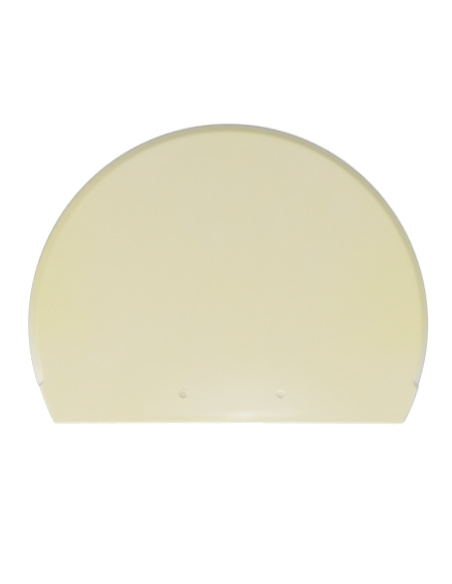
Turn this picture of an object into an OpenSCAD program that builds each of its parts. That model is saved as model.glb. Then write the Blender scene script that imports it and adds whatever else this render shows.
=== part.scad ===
// Bowl scraper: one flat moulded plastic blade with a bevelled scraping arc.
// It lies on its underside. The origin is the middle of its box at the underside,
// +Y points from the straight base to the top of the arc, and +Z out of the bevelled face.

/* [Blade] */
// Overall width, which is the diameter of the scraping arc
blade_w = 198; // [180:1:240]
// Overall height, from the base corners to the top of the arc
blade_h = 148.5; // [130:0.5:165]
// Thickness of the plate
blade_t = 2.5; // [1.8:0.1:4]
// Hollow of the base edge at its middle
base_hollow = 0.4; // [0.3:0.05:2]

/* [Scraping bevel] */
// Width of the bevel, from the lip to where its slope would meet the face
bevel_w = 3.7; // [3:0.1:10]
// Width of the soft blend between the bevel and the face
bevel_blend = 2.2; // [0.5:0.1:4]
// Thickness of the scraping lip
lip_t = 1; // [0.5:0.05:1.2]

/* [Grip band] */
// Height of the full-thickness band above the base corners, where the bevel ends
band_h = 18.5; // [10:0.5:24]
// Angle of the step that ends the bevel, up from the base
step_angle = 45; // [30:1:60]
// How much smaller the radius of the thick flanks is than the scraping arc's
flank_tighter = 1; // [0.5:0.1:2]
// How far the centre of the flanks' round lies below the arc's centre
flank_drop = 2.9; // [2.2:0.1:4]
// How far the centre of the flanks' round lies to the right of the arc's centre
flank_shift = 0.5; // [0:0.05:0.6]
// Radius of the left base corner, measured inside its full-round edge
left_corner_r = 0.4; // [0.2:0.1:6]
// Radius of the right base corner, measured inside its full-round edge
right_corner_r = 2.5; // [0.2:0.1:6]

/* [Ejector marks] */
// Diameter of each mark, where its sloping wall meets the face
mark_d = 4.8; // [3:0.1:8]
// Diameter of each mark's flat floor
mark_floor_d = 1.6; // [0.8:0.1:2.5]
// Depth of each mark
mark_depth = 0.3; // [0.1:0.05:0.8]
// Distance between the two marks
mark_spacing = 48; // [20:1:80]
// How far the pair of marks sits to the right of the arc's centre
mark_shift = 2; // [-10:0.5:10]
// Height of the marks above the base corners
mark_up = 15.2; // [8:0.2:30]

/* [Gate] */
// Width of the trimmed gate on the base edge
gate_w = 15; // [6:0.5:24]
// Depth that the trim takes off the base edge
gate_trim = 0.25; // [0.1:0.05:0.5]
// How far the gate sits to the right of the arc's centre
gate_shift = 9.5; // [-20:0.5:20]

/* [Hidden] */
$fn = 360;
// Facets of the small rounds
small_fn = 64;
// Overshoot of each curved cut past the face that it runs out on, so that nothing only touches
skim = 0.02;
// Reach of the cutting shapes past the plate's faces
over = 2;
// Reach of the cutting shapes well into or past the blade's edges
long_over = 3 * over;
// A distance that lies past every edge
far = 2 * blade_w;
arc_r = blade_w / 2;
centre_y = blade_h / 2 - arc_r;
base_y = arc_r - blade_h;

// The bevel is a straight slope between the blend's arc and the lip's round nose
lip_r = lip_t / 2;
lip_centre = [arc_r - lip_r, lip_r - skim];
slope_rise = blade_t - lip_centre[1];
slope_run = bevel_w - lip_r;
slope = acos(lip_r / norm([slope_rise, slope_run])) - atan2(slope_run, slope_rise);
blend_r = bevel_blend / 2 / tan(slope / 2);
blend_centre = [arc_r - bevel_w - bevel_blend / 2 - skim / tan(slope), blade_t + skim - blend_r];
arc_steps = 8;

// The thick edges are full round
edge_r = blade_t / 2 + skim;
flank_r = arc_r - flank_tighter;
flank_centre = [flank_shift, -flank_drop];

// The base edge is a shallow arc whose chord spans the base corners
base_half = sqrt(arc_r * arc_r - base_y * base_y);
hollow_r = (base_half * base_half + base_hollow * base_hollow) / (2 * base_hollow);
hollow_centre = [0, base_y + base_hollow - hollow_r];
hollow_span = 2 * asin((arc_r + long_over) / hollow_r);
// Facets of a full turn at that large radius
hollow_fn = 9000;
// How far a corner's round stands past the two edges that it crosses
corner_skim = 3 * skim;

// The bevel and the thick band meet on two slanted lines
step_y = base_y + band_h;
step_x = sqrt(arc_r * arc_r - step_y * step_y);
step_in = bevel_w + bevel_blend;

function polar(a) = [cos(a), sin(a)];

function mirrored(p) = [-p[0], p[1]];

// Points along an arc about a centre, between two angles
function arc_points(centre, r, from, to) =
    [for (i = [0:arc_steps]) centre + r * polar(from + (to - from) * i / arc_steps)];

// A point of the right-hand step line, at a distance in from the rim
function step_point(inward) =
    [step_x - inward, step_y + inward * tan(step_angle)];

// The line across the blade on which the bevel ends, from left to right
function step_line() = [
    mirrored(step_point(-long_over)),
    mirrored(step_point(step_in)),
    step_point(step_in),
    step_point(-long_over)
];

// Where two circles cross, on the given side of the line between their centres
function crossing(a, ra, b, rb, side) =
    let (d = norm(b - a))
    let (along = (b - a) / d)
    let (k = (ra * ra - rb * rb + d * d) / (2 * d))
    let (h = sqrt(ra * ra - k * k))
    a + k * along + side * h * [-along[1], along[0]];

// The point of a circle that lies towards p
function foot(centre, r, p) =
    centre + r * (p - centre) / norm(p - centre);

// Extrudes an outline from below the plate to above it
module through() {
    translate([0, 0, -over])
        linear_extrude(blade_t + 2 * over)
            children();
}

// Section of a plate whose full-round edge ends at x
module round_edged(x) {
    intersection() {
        translate([0, -over])
            square([x + over, blade_t + 2 * over]);
        union() {
            translate([0, -over])
                square([x - edge_r, blade_t + 2 * over]);
            translate([x - edge_r, blade_t / 2])
                circle(edge_r, $fn = small_fn);
        }
    }
}

// Section of the blade under the bevel, from its axis to the lip
module bevelled_section() {
    polygon(concat(
        [[0, -over], [lip_centre[0], -over]],
        arc_points(lip_centre, lip_r, -90, 90 - slope),
        arc_points(blend_centre, blend_r, 90 - slope, 90),
        [[blend_centre[0], blade_t + over], [0, blade_t + over]]
    ));
}

// What is cut away round the scraping arc
module bevel_cut() {
    difference() {
        through()
            polygon(concat(step_line(), [[far, far], [-far, far]]));
        rotate_extrude()
            bevelled_section();
    }
}

// What is cut away outside the thick flanks. It runs a hair past the step line into the bevel's
// cut, so that no sliver is left between the two.
module flank_cut() {
    difference() {
        through()
            translate([0, skim])
                polygon(concat(step_line(), [[far, -far], [-far, -far]]));
        translate(flank_centre)
            rotate_extrude()
                round_edged(flank_r);
    }
}

// What is cut away below the hollow base edge
module base_cut() {
    difference() {
        through()
            translate([-far, base_y + 2 * over - far])
                square([2 * far, far]);
        translate(hollow_centre)
            rotate_extrude(angle = hollow_span, start = 90 - hollow_span / 2, $fn = hollow_fn)
                translate([hollow_r + long_over, 0])
                    mirror([1, 0])
                        round_edged(long_over);
    }
}

// What is cut away outside one rounded base corner: side is 1 for the right and -1 for the left
module corner_cut(inner_r, side) {
    corner_r = inner_r + edge_r;
    inset = corner_r - corner_skim;
    centre = crossing(flank_centre, flank_r - inset, hollow_centre, hollow_r + inset, side);
    flank_foot = foot(flank_centre, flank_r, centre);
    base_foot = foot(hollow_centre, hollow_r, centre);
    difference() {
        through()
            polygon([
                centre,
                centre + 3 * (flank_foot - centre),
                centre + 3 * (flank_foot + base_foot - 2 * centre),
                centre + 3 * (base_foot - centre)
            ]);
        translate(centre)
            rotate_extrude($fn = small_fn)
                round_edged(corner_r);
    }
}

// One shallow dished ejector mark in the face: a cone that runs out as far above the face
module ejector_mark(x) {
    translate([x, base_y + mark_up, blade_t - mark_depth])
        cylinder(d1 = mark_floor_d, d2 = 2 * mark_d - mark_floor_d, h = 2 * mark_depth, $fn = small_fn);
}

// The flat left where the gate was trimmed off the base edge
module gate_cut() {
    translate([gate_shift - gate_w / 2, base_y - over, -over])
        cube([gate_w, over + base_hollow + gate_trim, blade_t + 2 * over]);
}

module scraper_blade() {
    color([0.86, 0.84, 0.73])
        translate([0, centre_y, 0])
            difference() {
                cylinder(r = arc_r + long_over, h = blade_t);
                bevel_cut();
                flank_cut();
                base_cut();
                corner_cut(left_corner_r, -1);
                corner_cut(right_corner_r, 1);
                ejector_mark(mark_shift - mark_spacing / 2);
                ejector_mark(mark_shift + mark_spacing / 2);
                gate_cut();
            }
}

scraper_blade();
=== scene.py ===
# Bowl scraper: one flat moulding in natural satin plastic, lying on a pale studio floor.
# The scene is in metres, in the part's own frame. The blade's plan is worked out in millimetres about
# the middle of its scraping arc, with x to the right and y towards the top of the arc.
import math
import bmesh
import bpy
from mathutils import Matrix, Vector
from mathutils.geometry import delaunay_2d_cdt
from mathutils.kdtree import KDTree


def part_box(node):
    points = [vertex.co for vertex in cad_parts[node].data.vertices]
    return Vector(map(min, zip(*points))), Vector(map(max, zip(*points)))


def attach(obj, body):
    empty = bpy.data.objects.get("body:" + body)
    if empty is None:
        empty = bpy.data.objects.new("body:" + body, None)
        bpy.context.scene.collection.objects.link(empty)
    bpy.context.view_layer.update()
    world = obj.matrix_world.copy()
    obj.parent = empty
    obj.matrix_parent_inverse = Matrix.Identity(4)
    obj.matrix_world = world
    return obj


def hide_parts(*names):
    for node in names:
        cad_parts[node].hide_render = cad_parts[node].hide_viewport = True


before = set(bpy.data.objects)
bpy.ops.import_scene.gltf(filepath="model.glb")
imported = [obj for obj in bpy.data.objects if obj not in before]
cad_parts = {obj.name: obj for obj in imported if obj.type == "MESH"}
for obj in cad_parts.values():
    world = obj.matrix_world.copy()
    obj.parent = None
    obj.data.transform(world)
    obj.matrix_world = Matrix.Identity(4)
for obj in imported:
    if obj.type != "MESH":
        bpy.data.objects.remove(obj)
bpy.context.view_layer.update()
mm = 0.001
print("frame loaded")

blade = {
    "bevelWidth": 3.7,      # from the lip to where the slope would meet the face
    "bevelBlend": 2.2,      # soft blend between the slope and the face
    "lipThickness": 1.0,
    "crestShift": (0.33, 0.36),   # the flat face lies a little to the right of the rim and above it
    "bandHeight": 18.5,     # the thick band, up from the base corners
    "stepSlant": 45,        # degrees up from the base, where the bevel ends
    "stepRun": 1.9,         # width of the step's wall, seen from above
    "flankTighter": 1.0,    # how much smaller the flanks' radius is than the arc's
    "flankDrop": 2.9,       # their middle lies below the arc's, and a little to the right of it
    "flankShift": 0.5,
    "leftCorner": 1.67,     # outer radii of the base corners
    "rightCorner": 3.77,
    "baseHollow": 0.4,      # rise of the base edge at its middle
    "gateLeft": 2.0,
    "gateRight": 17.0,
    "gateTrim": 0.25,
    "gateRun": 0.1,         # width of the trim's two end walls
    "markLine": 15.2,       # height of the ejector marks above the base corners
    "markXs": (-22, 26),
    "markRadius": 2.4,
    "markRun": 1.6,         # width of a mark's sloping wall, seen from above
    "markDepth": 0.3,
    "sharpAngle": 40,       # degrees between faces, past which an edge shades sharp
    "bevelColumns": 260,    # the mesh has columns round the rim and rows across it
    "flankColumns": 14,
    "cornerColumns": 12,
    "baseColumns": 80,
    "markColumns": 40,
    "edgeRows": 11,
    "slopeRows": 4,
    "blendRows": 8,
    "wallRows": 14,
    "wallGuard": 0.2,       # a close column beside each wall keeps its shading off the flat
    "markGuard": 0.25,      # and a close ring does so round each mark
    "floorRings": (0.85, 0.5),     # shares of the radius of a mark's floor
    "faceGuard": 1.0,       # and a row inside the blend
    "faceGrid": 4.0,        # spacing of the honeycomb on the flat faces
    "faceRoom": 0.6,        # least share of it between a honeycomb point and the rim's points
}

low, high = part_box("scraper_blade")
thickness = (high.z - low.z) / mm
arcRadius = (high.x - low.x) / 2 / mm
arcMiddle = Vector((0, high.y / mm - arcRadius))   # in the part's frame
baseY = low.y / mm - arcMiddle.y
origin = Vector((0, 0))

# Section of the bevel: a straight slope from the lip's round nose, blended into the face
lipRadius = blade["lipThickness"] / 2
edgeRadius = thickness / 2
crestRise = thickness - lipRadius
crestRun = blade["bevelWidth"] - lipRadius
slope = math.atan2(crestRise, crestRun) - math.asin(lipRadius / math.hypot(crestRise, crestRun))
blendRadius = blade["bevelBlend"] / 2 / math.tan(slope / 2)
slopeStart = lipRadius * (1 - math.sin(slope))
slopeEnd = blade["bevelWidth"] - blade["bevelBlend"] / 2 * math.cos(slope)
faceStart = blade["bevelWidth"] + blade["bevelBlend"] / 2
crestShift = Vector(blade["crestShift"])

# Plan of the thick band: its flanks, the hollow base edge and the two slanted steps
flankRadius = arcRadius - blade["flankTighter"]
flankMiddle = Vector((blade["flankShift"], -blade["flankDrop"]))
baseHalf = math.sqrt(arcRadius ** 2 - baseY ** 2)
hollowRadius = (baseHalf ** 2 + blade["baseHollow"] ** 2) / (2 * blade["baseHollow"])
hollowMiddle = Vector((0, baseY + blade["baseHollow"] - hollowRadius))
trimY = baseY + blade["baseHollow"] + blade["gateTrim"]
stepY = baseY + blade["bandHeight"]
stepX = math.sqrt(arcRadius ** 2 - stepY ** 2)


def mixed(a, b, share):
    return a + (b - a) * share


def evenly(count, withEnd=False):
    return [i / count for i in range(count + withEnd)]


def polar(angle):
    return Vector((math.cos(angle), math.sin(angle)))


def angleOf(spoke):
    return math.atan2(spoke.y, spoke.x)


# Rise of a round edge at a distance in from its rim
def roundRise(radius, inward):
    return math.sqrt(radius ** 2 - max(0, radius - inward) ** 2)


def bevelTop(inward):
    if inward < slopeStart:
        return lipRadius + roundRise(lipRadius, inward)
    if inward < slopeEnd:
        return thickness - (blade["bevelWidth"] - inward) * math.tan(slope)
    if inward < faceStart:
        return thickness - blendRadius + math.sqrt(blendRadius ** 2 - (faceStart - inward) ** 2)
    return thickness


def bevelUnder(inward):
    return lipRadius - roundRise(lipRadius, inward)


def bandTop(inward):
    return edgeRadius + roundRise(edgeRadius, inward)


def bandUnder(inward):
    return edgeRadius - roundRise(edgeRadius, inward)


# Where one side's slanted step line, moved sideways towards the band, enters a circle
def stepPoint(side, sideways, middle, radius):
    slant = math.radians(blade["stepSlant"])
    along = Vector((-side * math.cos(slant), math.sin(slant)))
    across = Vector((-side * math.sin(slant), -math.cos(slant)))
    start = Vector((side * stepX, stepY)) + sideways * across - middle
    ahead = start.dot(along)
    travel = -ahead - math.sqrt(ahead ** 2 - start.length_squared + radius ** 2)
    return middle + start + travel * along


# Where two circles cross, on one side of the line between their middles
def crossing(a, radiusA, b, radiusB, side):
    gap = b - a
    along = gap.normalized()
    reach = (radiusA ** 2 - radiusB ** 2 + gap.length_squared) / (2 * gap.length)
    rise = math.sqrt(radiusA ** 2 - reach ** 2)
    return a + reach * along + side * rise * Vector((-along.y, along.x))


def cornerOf(side):
    radius = blade["rightCorner"] if side > 0 else blade["leftCorner"]
    middle = crossing(flankMiddle, flankRadius - radius, hollowMiddle, hollowRadius + radius, side)
    return middle, radius


# Past the round edge, the band's columns head for the middle of the flanks
def headInward(point, inward):
    return point + max(0, inward - edgeRadius) * (flankMiddle - point).normalized()


# The columns below are functions from the distance in from the rim to a point of the plan
def bevelColumn(share):            # 0 at the right step, 1 at the left step
    def plan(inward):
        radius = arcRadius - inward
        angle = angleOf(stepPoint(1, -blade["stepRun"] / 2, origin, radius))
        shift = crestShift * min(1, inward / blade["bevelWidth"])
        return radius * polar(mixed(angle, math.pi - angle, share)) + shift
    return plan


def flankColumn(side, share):      # 0 at the step, 1 at the corner
    end = angleOf(cornerOf(side)[0] - flankMiddle)

    def plan(inward):
        radius = flankRadius - inward
        start = angleOf(stepPoint(side, blade["stepRun"] / 2, flankMiddle, radius) - flankMiddle)
        return flankMiddle + radius * polar(mixed(start, end, share))
    return plan


def stepColumn(side, share):       # 0 on the bevel, 1 on the band
    onBevel = bevelColumn(0 if side > 0 else 1)
    onBand = flankColumn(side, 0)
    return lambda inward: onBevel(inward).lerp(onBand(inward), share)


def cornerColumn(side, share):     # 0 at the flank, 1 at the base
    middle, radius = cornerOf(side)
    turn = mixed(angleOf(middle - flankMiddle), angleOf(hollowMiddle - middle), share)
    return lambda inward: headInward(middle + (radius - min(inward, edgeRadius)) * polar(turn), inward)


def baseColumn(x, trimmed):
    spoke = Vector((x, math.sqrt(hollowRadius ** 2 - x ** 2))) / hollowRadius

    def plan(inward):
        point = hollowMiddle + (hollowRadius + min(inward, edgeRadius)) * spoke
        if trimmed:
            point.y = max(point.y, trimY)
        return headInward(point, inward)
    return plan


# Shares across and up a soft wall, which curves out of its foot and into its brow
def wallPath():
    return [(across, (1 - math.cos(math.pi * across)) / 2) for across in evenly(blade["wallRows"], True)]


def baseXs():
    half = blade["gateRun"] / 2
    left, right = blade["gateLeft"], blade["gateRight"]
    ends = [hollowRadius * (cornerOf(side)[0] - hollowMiddle).normalized().x for side in (-1, 1)]
    xs = [mixed(*ends, share) for share in evenly(blade["baseColumns"], True)]
    return sorted(xs + [left - half, left + half, right - half, right + half])


# All columns in order round the rim, each with its share of the band's full thickness
def rimColumns():
    wall = wallPath()
    bevelGuard = blade["wallGuard"] / (arcRadius * math.pi)
    flankGuard = blade["wallGuard"] / blade["bandHeight"]
    bevelShares = sorted(evenly(blade["bevelColumns"])[1:] + [bevelGuard, 1 - bevelGuard])
    flankShares = sorted(evenly(blade["flankColumns"])[1:] + [flankGuard])
    columns = [(bevelColumn(share), 0) for share in bevelShares]
    columns += [(stepColumn(-1, across), up) for across, up in wall]
    columns += [(flankColumn(-1, share), 1) for share in flankShares]
    columns += [(cornerColumn(-1, share), 1) for share in evenly(blade["cornerColumns"])]
    columns += [(baseColumn(x, blade["gateLeft"] < x < blade["gateRight"]), 1) for x in baseXs()]
    columns += [(cornerColumn(1, 1 - share), 1) for share in evenly(blade["cornerColumns"], True)[1:]]
    columns += [(flankColumn(1, share), 1) for share in reversed(flankShares)]
    columns += [(stepColumn(1, across), up) for across, up in reversed(wall)]
    return columns


points = []
inwards = []
faces = []


def addPoint(plan, height, inward):
    points.append(((plan + arcMiddle) * mm).to_3d() + Vector((0, 0, height * mm)))
    inwards.append(inward)
    return len(points) - 1


def addRing(plans, height):
    return [addPoint(plan, height, min(arcRadius - plan.length, plan.y - baseY)) for plan in plans]


def joinStrips(strips, closed):
    for left, right in zip(strips, strips[1:] + strips[:closed]):
        faces.extend(zip(left, left[1:], right[1:], right))


# The skin of the rim, from the face over the edge to the underside. Returns its two inner loops.
def addSkin():
    edge = [edgeRadius * (1 - math.cos(math.pi / 2 * share)) for share in evenly(blade["edgeRows"], True)]
    slopeRows = [mixed(edgeRadius, slopeEnd, share) for share in evenly(blade["slopeRows"])[1:]]
    blendRows = [mixed(slopeEnd, faceStart, share) for share in evenly(blade["blendRows"], True)]
    upper = edge + slopeRows + blendRows + [faceStart + blade["faceGuard"]]
    strips = []
    for plan, share in rimColumns():
        path = [(row, mixed(bevelTop(row), bandTop(row), share)) for row in reversed(upper)]
        path += [(row, mixed(bevelUnder(row), bandUnder(row), share)) for row in edge[1:]]
        strips.append([addPoint(plan(row), height, row) for row, height in path])
    joinStrips(strips, True)
    return [strip[0] for strip in strips], [strip[-1] for strip in strips]


# One ejector mark: a soft-walled round recess. Returns the loop that joins it to the face.
def addMark(x):
    middle = Vector((x, baseY + blade["markLine"]))
    floorRadius = blade["markRadius"] - blade["markRun"]
    rings = [(blade["markRadius"] + blade["markGuard"], 0)]
    rings += [(blade["markRadius"] - across * blade["markRun"], up) for across, up in wallPath()]
    rings += [(floorRadius * share, 1) for share in blade["floorRings"]]
    loops = []
    for radius, share in rings:
        circle = [middle + radius * polar(math.tau * turn) for turn in evenly(blade["markColumns"])]
        loops.append(addRing(circle, thickness - share * blade["markDepth"]))
    joinStrips([loop + loop[:1] for loop in loops], False)
    hub = addRing([middle], thickness - blade["markDepth"])[0]
    faces.extend((a, b, hub) for a, b in zip(loops[-1], loops[-1][1:] + loops[-1][:1]))
    return loops[0]


def planOf(index):
    return points[index].xy / mm - arcMiddle


def insideLoop(point, loop):
    inside = False
    for a, b in zip(loop, loop[1:] + loop[:1]):
        if (a.y > point.y) != (b.y > point.y) and point.x < mixed(a.x, b.x, (point.y - a.y) / (b.y - a.y)):
            inside = not inside
    return inside


# Fills a flat face inside its loop and round its holes, on a honeycomb of added points
def fillFace(loop, holes, height):
    rings = [loop] + holes
    outlines = [[planOf(i) for i in ring] for ring in rings]
    known = [i for ring in rings for i in ring]
    near = KDTree(len(known))
    for i in known:
        near.insert(planOf(i).to_3d(), i)
    near.balance()
    pitch = blade["faceGrid"]
    rowPitch = pitch * math.sin(math.radians(60))
    onFace = [True] + [False] * len(holes)
    comb = []
    for row in range(math.ceil((arcRadius - baseY) / rowPitch)):
        for step in range(math.ceil(2 * arcRadius / pitch)):
            shifted = (step + row % 2 / 2) * pitch
            point = Vector((shifted - arcRadius, baseY + row * rowPitch))
            roomy = near.find(point.to_3d())[2] > blade["faceRoom"] * pitch
            if roomy and [insideLoop(point, outline) for outline in outlines] == onFace:
                comb.append(point)
    edges = []
    for ring in rings:
        first = len(edges)
        edges += [(first + i, first + (i + 1) % len(ring)) for i in range(len(ring))]
    known += addRing(comb, height)
    plans = [planOf(i) for i in known]
    keepInside = 1                 # the triangulation stays inside the outline
    merging = 1e-7                 # and joins only equal points
    triangles, sources = delaunay_2d_cdt(plans, edges, [], keepInside, merging)[2:4]
    for triangle in triangles:
        corners = [known[sources[i][0]] for i in triangle]
        if not any(set(corners) <= set(hole) for hole in holes):
            faces.append(corners)


def buildBlade():
    topLoop, underLoop = addSkin()
    fillFace(topLoop, [addMark(x) for x in blade["markXs"]], thickness)
    fillFace(underLoop, [], 0)
    mesh = bpy.data.meshes.new("blade_moulding")
    mesh.from_pydata(points, [], faces)
    form = bmesh.new()
    form.from_mesh(mesh)
    bmesh.ops.recalc_face_normals(form, faces=form.faces)
    openEdges = sum(not edge.is_manifold for edge in form.edges)
    form.to_mesh(mesh)
    form.free()
    mesh.shade_smooth()
    mesh.set_sharp_from_angle(angle=math.radians(blade["sharpAngle"]))
    mesh.attributes.new("rimDistance", "FLOAT", "POINT").data.foreach_set("value", inwards)
    piece = bpy.data.objects.new("blade_moulding", mesh)
    bpy.context.scene.collection.objects.link(piece)
    print(f"blade moulding: {len(mesh.polygons)} faces, {openEdges} open edges")
    return piece


class Socket:                      # an output socket that takes part in Python expressions
    def __init__(self, finish, plug):
        self.finish = finish
        self.plug = plug

    def other(self, name):
        return Socket(self.finish, self.plug.node.outputs[name])

    def __add__(self, value):
        return self.finish.maths("ADD", self, value)

    def __radd__(self, value):
        return self.finish.maths("ADD", value, self)

    def __sub__(self, value):
        return self.finish.maths("SUBTRACT", self, value)

    def __rsub__(self, value):
        return self.finish.maths("SUBTRACT", value, self)

    def __mul__(self, value):
        return self.finish.maths("MULTIPLY", self, value)

    def __rmul__(self, value):
        return self.finish.maths("MULTIPLY", value, self)

    def __truediv__(self, value):
        return self.finish.maths("DIVIDE", self, value)

    def __rtruediv__(self, value):
        return self.finish.maths("DIVIDE", value, self)

    def __pow__(self, value):
        return self.finish.maths("POWER", self, value)

    def __rpow__(self, value):
        return self.finish.maths("POWER", value, self)


class Finish:                      # a material and its nodes
    def __init__(self, name):
        self.material = bpy.data.materials.new(name)
        self.material.use_nodes = True
        self.tree = self.material.node_tree
        self.tree.nodes.clear()

    # Adds a node: its settings first, then the values or links of its sockets
    def node(self, kind, settings, sockets, output=0):
        made = self.tree.nodes.new("ShaderNode" + kind)
        for name, value in settings.items():
            setattr(made, name, value)
        for name, value in sockets.items():
            if isinstance(value, Socket):
                self.tree.links.new(value.plug, made.inputs[name])
            else:
                made.inputs[name].default_value = value
        return Socket(self, made.outputs[output]) if made.outputs else made

    def maths(self, operation, *values):
        return self.node("Math", {"operation": operation}, dict(enumerate(values)))

    # Distance between two values
    def apart(self, a, b):
        return self.maths("ABSOLUTE", a - b)

    def noise(self, place, size, detail):
        return self.node("TexNoise", {}, {"Vector": place, "Scale": 1 / size, "Detail": detail})

    # 0 below the first value, 1 above the second, and a smooth climb between them
    def climb(self, value, start, end):
        sockets = {"Value": value, "From Min": start, "From Max": end}
        return self.node("MapRange", {"interpolation_type": "SMOOTHSTEP"}, sockets)

    def fade(self, value, start, end):
        return 1 - self.climb(value, start, end)

    # A climb over the first two values and a fade over the last two
    def hump(self, value, start, full, ebb, end):
        return self.climb(value, start, full) * self.fade(value, ebb, end)

    def mixColour(self, share, a, b):
        return self.node("Mix", {"data_type": "RGBA"}, {0: share, 6: a, 7: b}, 2)

    def point(self, x, y, z):
        return self.node("CombineXYZ", {}, {0: x, 1: y, 2: z})

    def wear(self, **sockets):
        shader = self.node("BsdfPrincipled", {}, sockets)
        self.node("OutputMaterial", {}, {"Surface": shader})
        return self.material


# Lengths are in millimetres, and places are measured from the middle of the arc. A tint's share says
# how strong it is, and a pair of numbers says where it starts to change and where that ends.
plastic = {
    "cream": (0.569, 0.529, 0.383, 1),
    "yellowed": (0.566, 0.533, 0.358, 1),
    "honey": (0.573, 0.534, 0.316, 1),
    "pale": (0.588, 0.562, 0.447, 1),
    # whitish: the gate's blush, and painted light on the steps' walls
    "blushAndLight": (0.690, 0.678, 0.625, 1),
    # painted light on the bevel's upper left slope
    "slopeLight": (0.650, 0.587, 0.350, 1),
    "rimWhite": (0.535, 0.548, 0.435, 1),
    "flankWhite": (0.540, 0.548, 0.475, 1),
    # painted sheen on the bevel's low ends
    "lowSheen": (0.570, 0.578, 0.565, 1),
    # painted shade for the outermost edge lines
    "rimShade": (0.415, 0.430, 0.330, 1),
    "lowShade": (0.418, 0.426, 0.395, 1),
    # painted shade in the ejector marks
    "shadedMarks": (0.420, 0.390, 0.260, 1),
    "topSide": (0.1, 0.9),         # heights between which the surface counts as the upper side
    "leftSide": (-60, 60),
    "mottleSize": 40,
    "mottleRange": (0.35, 0.68),
    "streakFan": 9,                # flow streaks: how closely they fan out, and how long they are
    "streakLength": 70,
    "streakRange": (0.45, 0.75),
    "streakShare": 0.14,
    "sideMiddle": -2,              # deeper yellow at both sides
    "sideSpan": (40, 92),
    "sideFoot": (-28, -4),
    "sideFootTilt": 8,
    "sideBrow": (20, 60),
    "sideBrowLoss": 0.4,
    "sideShare": 0.85,
    "beltMiddle": -8,              # and in a tilted belt across the middle
    "beltRise": 26,
    "beltTilt": 0.27,
    "beltSpan": (25, 65),
    "beltHeight": (3, 20),
    "beltShare": 0.32,
    "widePale": (0, 62, 40, 0.1),     # middle from the gate, half width, half height and core
    "widePaleShare": 0.85,
    "bandBlush": (1, 34, 4.4, 0.2),
    "bandShare": 0.25,
    "nearBlush": (-2.5, 11, 3, 0),
    "nearShare": 0.3,
    "blushRise": 3.8,              # of the band and of the streak near the gate
    "blushTilt": 0.06,
    "lowEnd": (-28, 14),           # heights between which the bevel's low ends take a painted sheen, stronger downwards
    "lowEndTilt": 24,              # by which the second height is higher on the left
    "crestPatch": 45,
    "crestRange": (0.35, 0.6),
    "crestHump": (0.8, 2.6, 3.4, 6.5),
    "slopeHump": (0.8, 1.8, 2.4, 4),
    "slopeLeft": (-75, -30),
    "slopeRise": (8, 40),
    "slopeShare": 0.6,
    "nearBase": (6, 9),            # above the base corners
    "baseHump": (1.8, 3, 3.2, 4.4),
    "baseMiddle": 8,
    "baseCore": (2, 30),
    "baseSpan": (45, 70),
    "baseShare": 0.65,
    "baseRight": (8, 28),
    "baseRightLoss": 0.35,
    "paleReach": (3, 2.6, 5),      # on the band, on the bevel and on its low ends
    "paleShare": (0.75, 0.5, 0.75),
    # the grey line of painted shade along the outermost edge
    "greyReach": 0.9,
    "greyShare": 0.5,
    # painted shade on the round base edge
    "baseGrey": (0.1, 2),
    # painted shade on the bevel's right low end
    "lowGreyRight": (70, 95),
    "lowGreyReach": (0.6, 2.8),
    "lowGreyShare": 0.3,
    "stepEdge": 0.5,
    "wallHalf": (0.4, 1.6),        # painted light on the steps' walls, lifting their shade
    "wallReach": (1.2, 4),
    "wallShare": 0.5,
    "wallRightLoss": 0.2,
    "paleAboveHump": (0.8, 3, 3, 9),  # and a paler patch above the left step
    "paleAboveReach": (0.6, 2, 2.5, 5),
    "paleAboveShare": 0.15,
    "middleBlend": 10,             # half the width over which left turns into right
    # blots of painted shade in the ejector marks
    "markShade": ((-21.8, 1.3, 1.9, 0.5), (-22.6, 0.2, 2.8, 0.2), (26.2, 1.1, 1.8, 0.3)),
    "markShadeWidth": 1.25,            # of its height
    "markShadeCore": 0.35,
    "roughness": 0.38,
    "roughSize": 6,
    "roughSpread": 0.12,
    "scratchRough": 0.08,          # added in a scratch
    "scratchDepth": 0.003,
    "scratchWidth": 0.012,
    "scratchLength": 60,
    "scratchPatch": 25,
    "scratchRange": (0.45, 0.7),
    "scratchSets": ((0.35, 0.9), (2.2, 1.3)),    # turn in radians, and spacing
    "peelSize": 1.3,
    "peelHeight": 0.004,
    "waveSize": 32,
    "waveHeight": 0.05,
    "refraction": 1.5,
    "subsurface": 0.2,
    "subsurfaceTint": (1, 0.85, 0.5),
    "subsurfaceReach": 0.0015,     # metres
}


class Spot:                        # where a point of the skin lies
    def __init__(self, f):
        local = f.node("TexCoord", {}, {}, "Object")
        self.place = f.node("VectorMath", {"operation": "SCALE"}, {0: local, "Scale": 1 / mm})
        self.x = f.node("SeparateXYZ", {}, {0: self.place})
        self.y = self.x.other("Y") - arcMiddle.y
        self.inward = f.node("Attribute", {"attribute_name": "rimDistance"}, {}, "Fac")
        self.onTop = f.climb(self.x.other("Z"), *plastic["topSide"])
        self.leftward = f.fade(self.x, *plastic["leftSide"])
        self.rightHalf = f.climb(self.x, -plastic["middleBlend"], plastic["middleBlend"])
        foot, top = plastic["lowEnd"]
        self.lowEnd = f.fade(self.y, foot, self.leftward * plastic["lowEndTilt"] + top)
        slant = math.tan(math.radians(blade["stepSlant"]))
        self.besideStep = self.y - self.inward * slant - stepY     # above the slanted step line
        self.onBevel = f.climb(self.besideStep, -plastic["stepEdge"], plastic["stepEdge"])
        self.nearBase = f.fade(self.y - baseY, *plastic["nearBase"])
        self.fromGateX = self.x - (blade["gateLeft"] + blade["gateRight"]) / 2
        self.fromGateY = self.y - trimY


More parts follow.
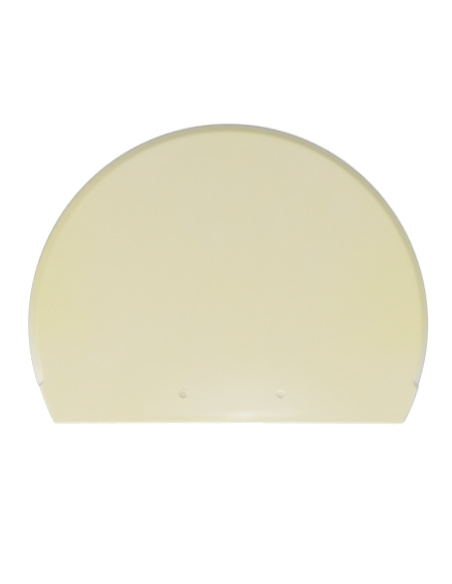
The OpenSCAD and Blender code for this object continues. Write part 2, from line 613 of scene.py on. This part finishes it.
# Soft mottling, and streaks where the melt flowed out from the gate
def flowed(f, at):
    mottling = f.climb(f.noise(at.place, plastic["mottleSize"], 3), *plastic["mottleRange"])
    colour = f.mixColour(mottling, plastic["cream"], plastic["yellowed"])
    spread = f.maths("ARCTAN2", at.fromGateY, at.fromGateX)
    travel = (at.fromGateX ** 2 + at.fromGateY ** 2) ** 0.5
    fan = f.point(spread * plastic["streakFan"], travel / plastic["streakLength"], 0)
    streaks = f.climb(f.noise(fan, 1, 4), *plastic["streakRange"])
    return f.mixColour(streaks * plastic["streakShare"], colour, plastic["pale"])


# Deeper yellow at the sides and in a belt across the middle
def aged(f, at, colour):
    sides = f.climb(f.apart(at.x, plastic["sideMiddle"]), *plastic["sideSpan"])
    sides = sides * f.climb(at.y - at.leftward * plastic["sideFootTilt"], *plastic["sideFoot"])
    sides = sides * (1 - f.climb(at.y, *plastic["sideBrow"]) * plastic["sideBrowLoss"])
    colour = f.mixColour(sides * plastic["sideShare"], colour, plastic["honey"])
    across = f.apart(at.y - at.x * plastic["beltTilt"], plastic["beltRise"])
    along = f.apart(at.x, plastic["beltMiddle"])
    belt = f.fade(across, *plastic["beltHeight"]) * f.fade(along, *plastic["beltSpan"])
    return f.mixColour(belt * plastic["beltShare"], colour, plastic["honey"])


# An oval patch near the gate: 1 in its core and 0 outside it
def oval(f, across, up, middle, halfWidth, halfHeight, core):
    return f.fade((((across - middle) / halfWidth) ** 2 + (up / halfHeight) ** 2) ** 0.5, core, 1)


# Paler over a wide patch round the gate, with a whitish blush in a band along the base and in a short
# streak there
def blushed(f, at, colour):
    across, up = at.fromGateX, at.fromGateY
    wide = oval(f, across, up, *plastic["widePale"])
    colour = f.mixColour(wide * plastic["widePaleShare"], colour, plastic["pale"])
    up = up - across * plastic["blushTilt"] - plastic["blushRise"]
    band = oval(f, across, up, *plastic["bandBlush"]) * plastic["bandShare"]
    near = oval(f, across, up, *plastic["nearBlush"]) * plastic["nearShare"]
    return f.mixColour(band + near, colour, plastic["blushAndLight"])


# The colour deepens along the crest of the bevel and inside the middle of the base edge, and the bevel's
# upper left slope gets painted light, a lighter and more warmly tinted colour
def deepenedAndSlopeLit(f, at, colour):
    patchy = f.climb(f.noise(at.place, plastic["crestPatch"], 1), *plastic["crestRange"]) * 0.5 + 0.5
    crest = f.hump(at.inward, *plastic["crestHump"]) * (1 - at.lowEnd) ** 2 * patchy
    beside = f.apart(at.x, plastic["baseMiddle"])
    middle = (f.climb(beside, *plastic["baseCore"]) * 0.5 + 0.5) * f.fade(beside, *plastic["baseSpan"])
    share = plastic["baseShare"] - f.climb(at.x, *plastic["baseRight"]) * plastic["baseRightLoss"]
    baseLine = f.hump(at.inward, *plastic["baseHump"]) * at.nearBase * middle * share
    colour = f.mixColour((crest + baseLine) * at.onTop, colour, plastic["honey"])
    # painted light: a lighter, warmer tint stands for the light falling on the upper left slope
    upperLeft = f.fade(at.x, *plastic["slopeLeft"]) * f.climb(at.y, *plastic["slopeRise"])
    onSlope = f.hump(at.inward, *plastic["slopeHump"]) * at.onTop
    return f.mixColour(upperLeft * onSlope * plastic["slopeShare"], colour, plastic["slopeLight"])


# One value for the thick band, one for the bevel and one for the bevel's low ends
def byZone(at, band, bevel, lowEnd):
    return band + at.onBevel * (bevel - band) + at.onBevel * at.lowEnd * (lowEnd - bevel)


# The steps' walls are painted lighter, painted light that lifts their shade, and the plastic above the
# left step is paler
def stepsLightened(f, at, colour):
    # painted light on the steps' walls, lifting their shade
    wall = f.fade(f.maths("ABSOLUTE", at.besideStep), *plastic["wallHalf"])
    wall = wall * f.fade(at.inward, *plastic["wallReach"]) * at.onTop
    wall = wall * (plastic["wallShare"] - at.rightHalf * plastic["wallRightLoss"])
    colour = f.mixColour(wall, colour, plastic["blushAndLight"])
    paleAbove = f.hump(at.besideStep, *plastic["paleAboveHump"]) * (1 - at.rightHalf)
    paleAbove = paleAbove * f.hump(at.inward, *plastic["paleAboveReach"]) * at.onTop
    return f.mixColour(paleAbove * plastic["paleAboveShare"], colour, plastic["blushAndLight"])


# Every edge is paler, as thin plastic is, most of all the low ends of the bevel, which get a painted
# sheen. Its outermost line is greyer with painted shade, and painted shade also lies on the bevel's right
# low end and the round base edge
def edgesPaledAndShaded(f, at, colour):
    paleness = f.fade(at.inward, 0, byZone(at, *plastic["paleReach"])) * byZone(at, *plastic["paleShare"])
    # the low ends of the bevel take a painted sheen
    paleAndSheen = f.mixColour(at.lowEnd, plastic["rimWhite"], plastic["lowSheen"])
    paleAndSheen = f.mixColour(at.onBevel, plastic["flankWhite"], paleAndSheen)
    colour = stepsLightened(f, at, f.mixColour(paleness, colour, paleAndSheen))
    # painted shade: a grey line along the outermost edge
    grey = f.mixColour(at.lowEnd, plastic["rimShade"], plastic["lowShade"])
    line = f.fade(at.inward, 0, plastic["greyReach"]) * plastic["greyShare"]
    colour = f.mixColour(line, colour, grey)
    # painted shade on the bevel's right low end
    lowRight = f.climb(at.x, *plastic["lowGreyRight"]) * at.lowEnd * at.onBevel
    lowRight = lowRight * f.fade(at.inward, *plastic["lowGreyReach"]) * plastic["lowGreyShare"]
    colour = f.mixColour(lowRight, colour, grey)
    # painted shade on the round base edge, holding down its highlight
    baseEdge = f.fade(at.inward, *plastic["baseGrey"]) * at.nearBase * plastic["greyShare"]
    return f.mixColour(baseEdge, colour, plastic["rimShade"])


# Painted shade lies in the upper half of each ejector mark's recess, and all over the left one. Each blot
# has a place from the middle of the arc and the marks' line, a reach and a share.
def shadedMarks(f, at, colour):
    # each blot is painted shade in a mark's recess
    for x, rise, reach, share in plastic["markShade"]:
        across = (at.x - x) / plastic["markShadeWidth"]
        up = at.y - (baseY + blade["markLine"] + rise)
        blot = f.fade((across ** 2 + up ** 2) ** 0.5, reach * plastic["markShadeCore"], reach)
        colour = f.mixColour(blot * at.onTop * share, colour, plastic["shadedMarks"])
    return colour


# Fine handling scratches that run roughly one way: 1 in a scratch and 0 beside it
def scratches(f, at, turn, spacing):
    x, y = at.x, at.x.other("Y")
    along = x * math.cos(turn) + y * math.sin(turn)
    across = y * math.cos(turn) - x * math.sin(turn)
    grain = f.point(along / plastic["scratchLength"], across / spacing, turn)
    patches = f.noise(f.point(x, y, spacing), plastic["scratchPatch"], 2)
    lines = f.fade(f.apart(f.noise(grain, 1, 3), 0.5), 0, plastic["scratchWidth"])
    return lines * f.climb(patches, *plastic["scratchRange"])


def satinPlastic():
    f = Finish("satin_natural_plastic")
    at = Spot(f)
    colour = flowed(f, at)
    for tint in (aged, blushed, deepenedAndSlopeLit, edgesPaledAndShaded, shadedMarks):
        colour = tint(f, at, colour)
    first, second = [scratches(f, at, turn, spacing) for turn, spacing in plastic["scratchSets"]]
    marked = first + second
    uneven = (f.noise(at.place, plastic["roughSize"], 3) - 0.5) * plastic["roughSpread"]
    roughness = plastic["roughness"] + uneven + marked * plastic["scratchRough"]
    peel = f.noise(at.place, plastic["peelSize"], 2) * plastic["peelHeight"]
    waves = f.noise(at.place, plastic["waveSize"], 1) * plastic["waveHeight"]
    height = peel + waves - marked * plastic["scratchDepth"]
    normal = f.node("Bump", {}, {"Height": height, "Distance": mm, "Strength": 1.0})
    return f.wear(**{
        "Base Color": colour,
        "Roughness": roughness,
        "Normal": normal,
        "IOR": plastic["refraction"],
        "Subsurface Weight": plastic["subsurface"],
        "Subsurface Radius": plastic["subsurfaceTint"],
        "Subsurface Scale": plastic["subsurfaceReach"],
    })


piece = buildBlade()
piece.data.materials.append(satinPlastic())
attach(piece, "root")
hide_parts("scraper_blade")
print("blade finished")

studio = {
    "floorSide": 8.0,              # metres, like the other lengths here
    "floorWhite": (0.95, 0.95, 0.95, 1),
    "floorGrain": (0.93, 0.93, 0.93, 1),
    "floorGrainSize": 0.002,
    "floorRoughness": 0.8,
    "ambient": 0.51,               # strength of the white surround
    "boxPower": 47,                # watts
    "boxSide": 2.4,
    "boxDistance": 1.6,
    "boxAzimuth": 260,             # degrees from the right, anticlockwise seen from above
    "boxElevation": 45,
}


def paperFloor():
    f = Finish("pale_paper")
    grain = f.noise(f.node("TexCoord", {}, {}, "Object"), studio["floorGrainSize"], 4)
    colour = f.mixColour(grain, studio["floorWhite"], studio["floorGrain"])
    return f.wear(**{"Base Color": colour, "Roughness": studio["floorRoughness"]})


def buildStudio():
    half = studio["floorSide"] / 2
    mesh = bpy.data.meshes.new("floor")
    corners = [(-half, -half, 0), (half, -half, 0), (half, half, 0), (-half, half, 0)]
    mesh.from_pydata(corners, [], [(0, 1, 2, 3)])
    mesh.materials.append(paperFloor())
    floor = bpy.data.objects.new("floor", mesh)
    bpy.context.scene.collection.objects.link(floor)
    world = bpy.data.worlds.new("studio")
    world.use_nodes = True
    world.node_tree.nodes["Background"].inputs["Strength"].default_value = studio["ambient"]
    world.node_tree.nodes["Background"].inputs["Color"].default_value = (1, 1, 1, 1)
    bpy.context.scene.world = world
    softbox = bpy.data.lights.new("softbox", "AREA")
    softbox.size = studio["boxSide"]
    softbox.energy = studio["boxPower"]
    lamp = bpy.data.objects.new("softbox", softbox)
    level = polar(math.radians(studio["boxAzimuth"])) * math.cos(math.radians(studio["boxElevation"]))
    away = level.to_3d() + Vector((0, 0, math.sin(math.radians(studio["boxElevation"]))))
    lamp.location = away * studio["boxDistance"]
    lamp.rotation_euler = (-away).to_track_quat("-Z", "Y").to_euler()
    bpy.context.scene.collection.objects.link(lamp)


view = {
    "distance": 1.2,        # metres above the face
    "imageHeight": 584,     # pixels
    "imageMiddle": (225.5, 291.5),
    "arcMiddle": (227.6, 324.1),   # where the arc's middle lies in the image
    "pixel": 0.49426,       # millimetres at the face
    "roll": 0.08,           # degrees
}


def placeCamera():
    lens = bpy.data.cameras.new("camera")
    lens.sensor_width = 36
    lens.lens = lens.sensor_width * view["distance"] / (view["imageHeight"] * view["pixel"] * mm)
    camera = bpy.data.objects.new("camera", lens)
    across = (view["arcMiddle"][0] - view["imageMiddle"][0]) * view["pixel"]
    down = (view["arcMiddle"][1] - view["imageMiddle"][1]) * view["pixel"]
    aim = (arcMiddle + Vector((-across, down))) * mm
    camera.location = aim.to_3d() + Vector((0, 0, high.z + view["distance"]))
    camera.rotation_euler = (0, 0, math.radians(view["roll"]))
    bpy.context.scene.collection.objects.link(camera)
    bpy.context.scene.camera = camera


buildStudio()
placeCamera()
bpy.context.scene.view_settings.view_transform = "Standard"
print("studio set")
